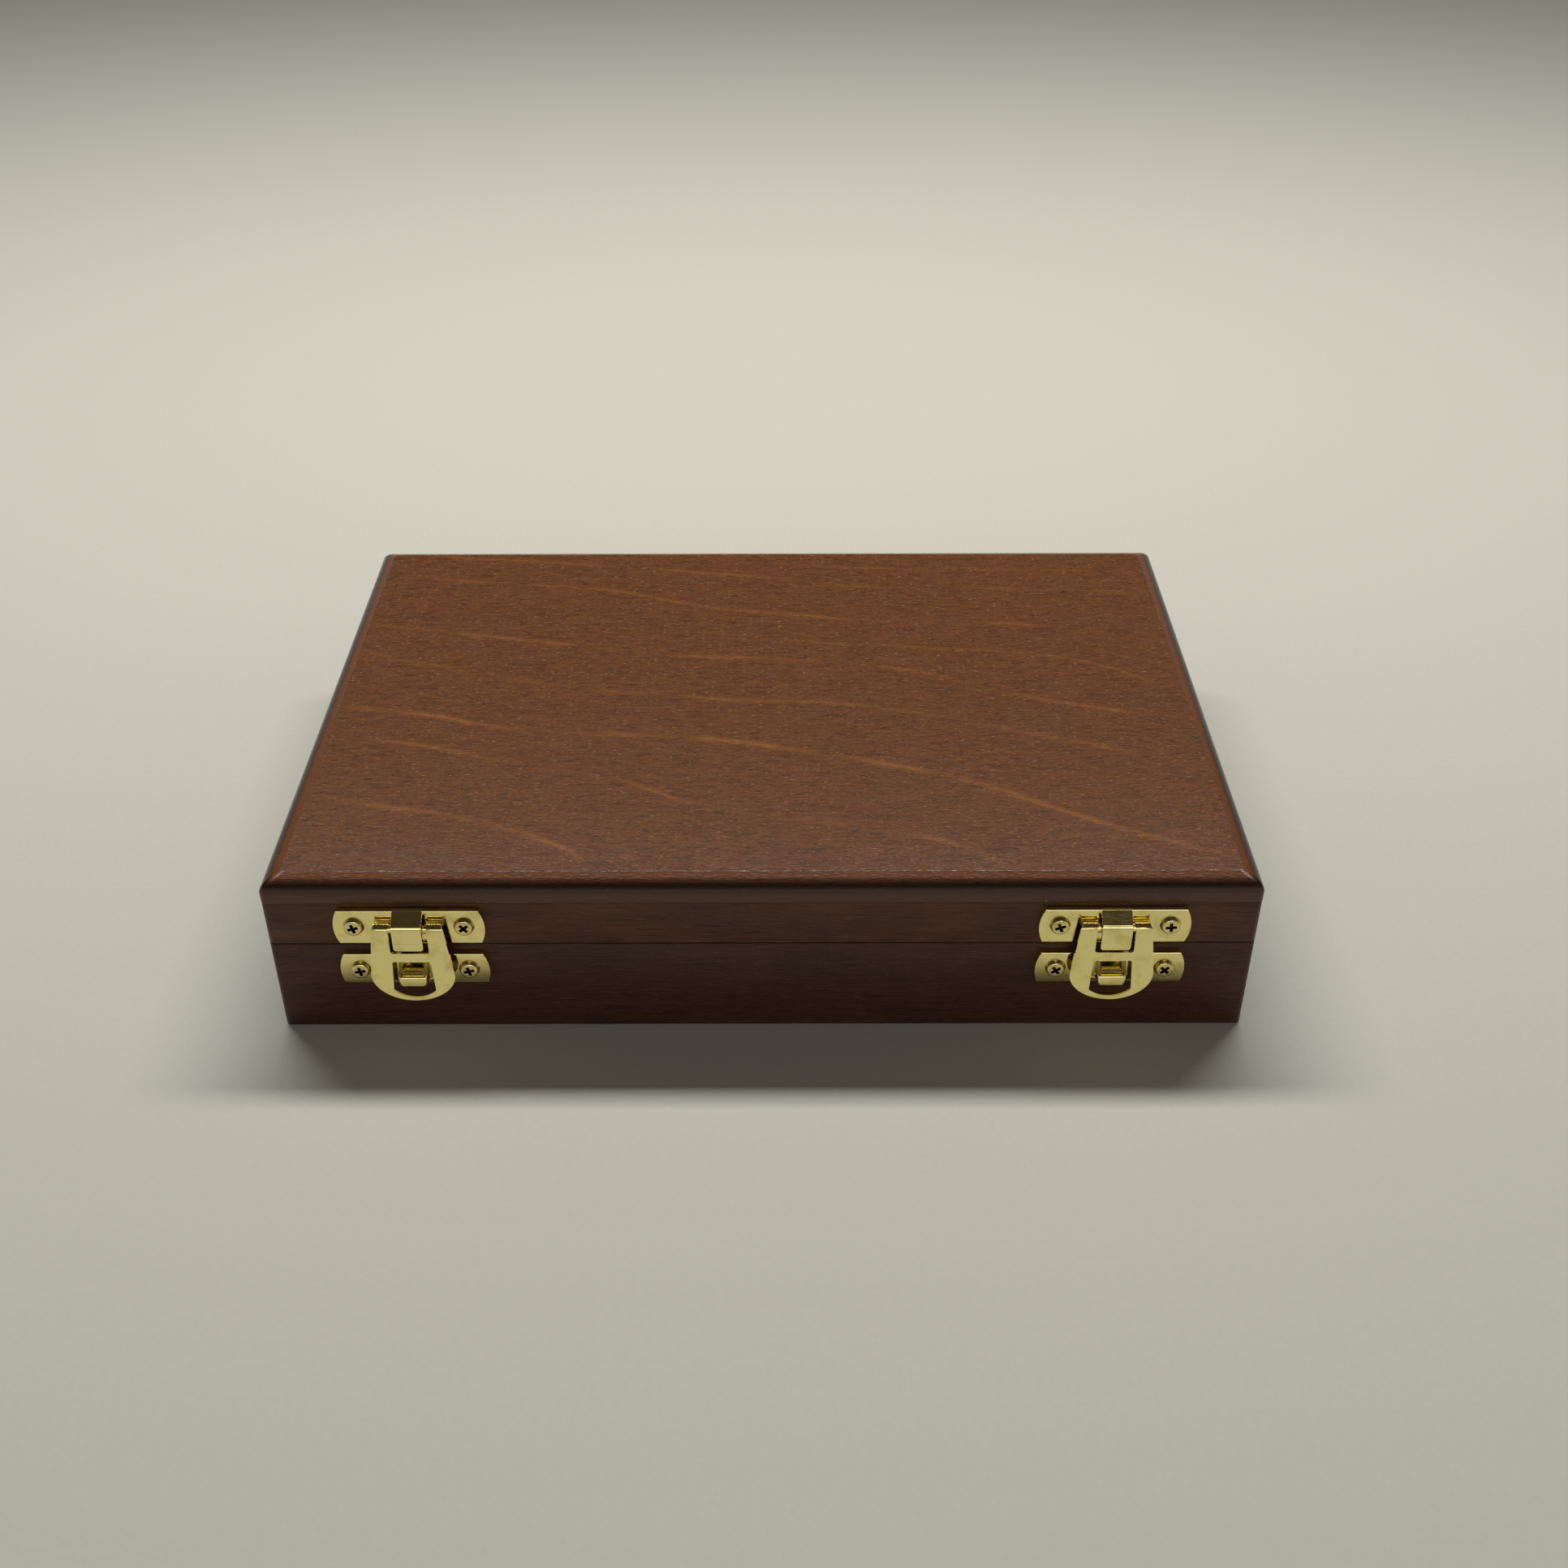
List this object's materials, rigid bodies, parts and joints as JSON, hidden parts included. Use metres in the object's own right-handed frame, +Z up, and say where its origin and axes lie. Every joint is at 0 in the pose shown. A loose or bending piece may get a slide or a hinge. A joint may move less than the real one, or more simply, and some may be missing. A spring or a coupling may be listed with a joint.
{
  "type": "hinged wooden presentation case",
  "caption": "Low rectangular wooden case with a hinged lid held shut by stamped brass latches, lined with velvet and satin for keepsakes.",
  "frame": {"origin": "centre of the underside of the wooden case", "axes": "+X to the right, +Y to the back, where the hinges are, +Z up; the latches face -Y"},
  "size_m": [0.2304, 0.168, 0.0435],
  "materials": {
    "walnut_frame": "dark walnut stain under satin varnish",
    "walnut_top": "reddish walnut stain under satin varnish",
    "birch_ply": "bare plywood",
    "velvet": "short-pile velvet",
    "satin": "padded satin",
    "polished_brass": "stamped and polished, pale brass plating",
    "hinge_brass": "brushed",
    "brass_screws": "polished"
  },
  "bodies": {
    "base": {"base_front_board": "walnut_frame", "base_back_board": "walnut_frame", "base_left_board": "walnut_frame", "base_right_board": "walnut_frame", "floor_panel": "birch_ply", "front_lining_strip": "velvet", "back_lining_strip": "velvet", "left_lining_strip": "velvet", "right_lining_strip": "velvet", "floor_pad": "velvet", "lower_latch_plate_left": "polished_brass", "lower_latch_plate_right": "polished_brass", "lower_latch_screws": "brass_screws", "base_hinge_leaf_left": "hinge_brass", "base_hinge_leaf_right": "hinge_brass", "base_hinge_screws": "brass_screws", "hinge_pin_left": "hinge_brass", "hinge_pin_right": "hinge_brass"},
    "lid": {"lid_front_rail": "walnut_frame", "lid_back_rail": "walnut_frame", "lid_left_rail": "walnut_frame", "lid_right_rail": "walnut_frame", "top_panel": "walnut_top", "lid_pad": "satin", "upper_latch_plate_left": "polished_brass", "upper_latch_plate_right": "polished_brass", "upper_latch_screws": "brass_screws", "lid_hinge_leaf_left": "hinge_brass", "lid_hinge_leaf_right": "hinge_brass", "lid_hinge_screws": "brass_screws"},
    "lever_left": {"latch_lever_left": "polished_brass"},
    "lever_right": {"latch_lever_right": "polished_brass"}
  },
  "joints": [
    {"name": "lid_hinge", "type": "hinge", "parent": "base", "child": "lid", "pos_m": [0, 0.078, 0.0255], "axis": [-1, 0, 0], "range_deg": [0, 95]},
    {"name": "lever_left_hinge", "type": "hinge", "parent": "lid", "child": "lever_left", "pos_m": [-0.0812, -0.08435, 0.03275], "axis": [-1, 0, 0], "range_deg": [0, 110]},
    {"name": "lever_right_hinge", "type": "hinge", "parent": "lid", "child": "lever_right", "pos_m": [0.0812, -0.08435, 0.03275], "axis": [-1, 0, 0], "range_deg": [0, 110]}
  ]
}
